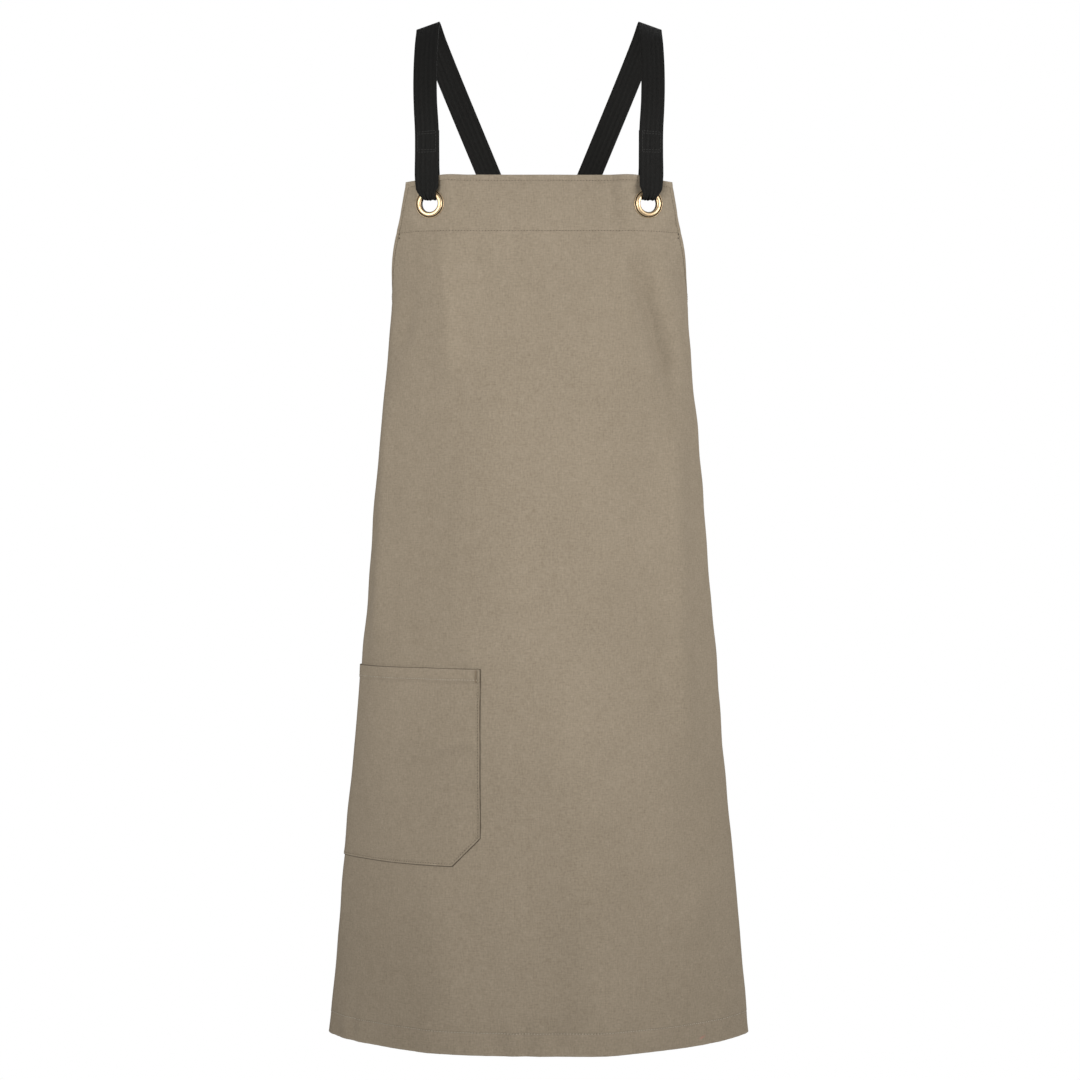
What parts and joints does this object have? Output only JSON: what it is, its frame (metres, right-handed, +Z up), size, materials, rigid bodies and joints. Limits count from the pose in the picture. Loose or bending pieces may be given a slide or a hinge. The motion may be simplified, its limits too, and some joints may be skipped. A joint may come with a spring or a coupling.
{
  "type": "cross back apron",
  "caption": "Cross back work apron: an A-line cloth panel with a patch pocket, hung by webbing straps that run through brass eyelets and cross at the back.",
  "frame": {"origin": "midway between the two places where the undersides of the straps bear on the wearer's shoulders", "axes": "+Z up as worn, -Y out of the front of the bib, +X to the right of a viewer who faces the front"},
  "size_m": [0.459, 0.2163, 1.096],
  "materials": {
    "canvas": "matte woven khaki cotton canvas",
    "webbing": "matte black cotton webbing",
    "brass": "polished brass"
  },
  "bodies": {
    "root": {"apron_panel": "canvas", "pocket": "canvas", "eyelet_left": "brass", "eyelet_right": "brass", "washer_left": "brass", "washer_right": "brass", "strap_left": "webbing", "strap_right": "webbing"}
  },
  "joints": []
}
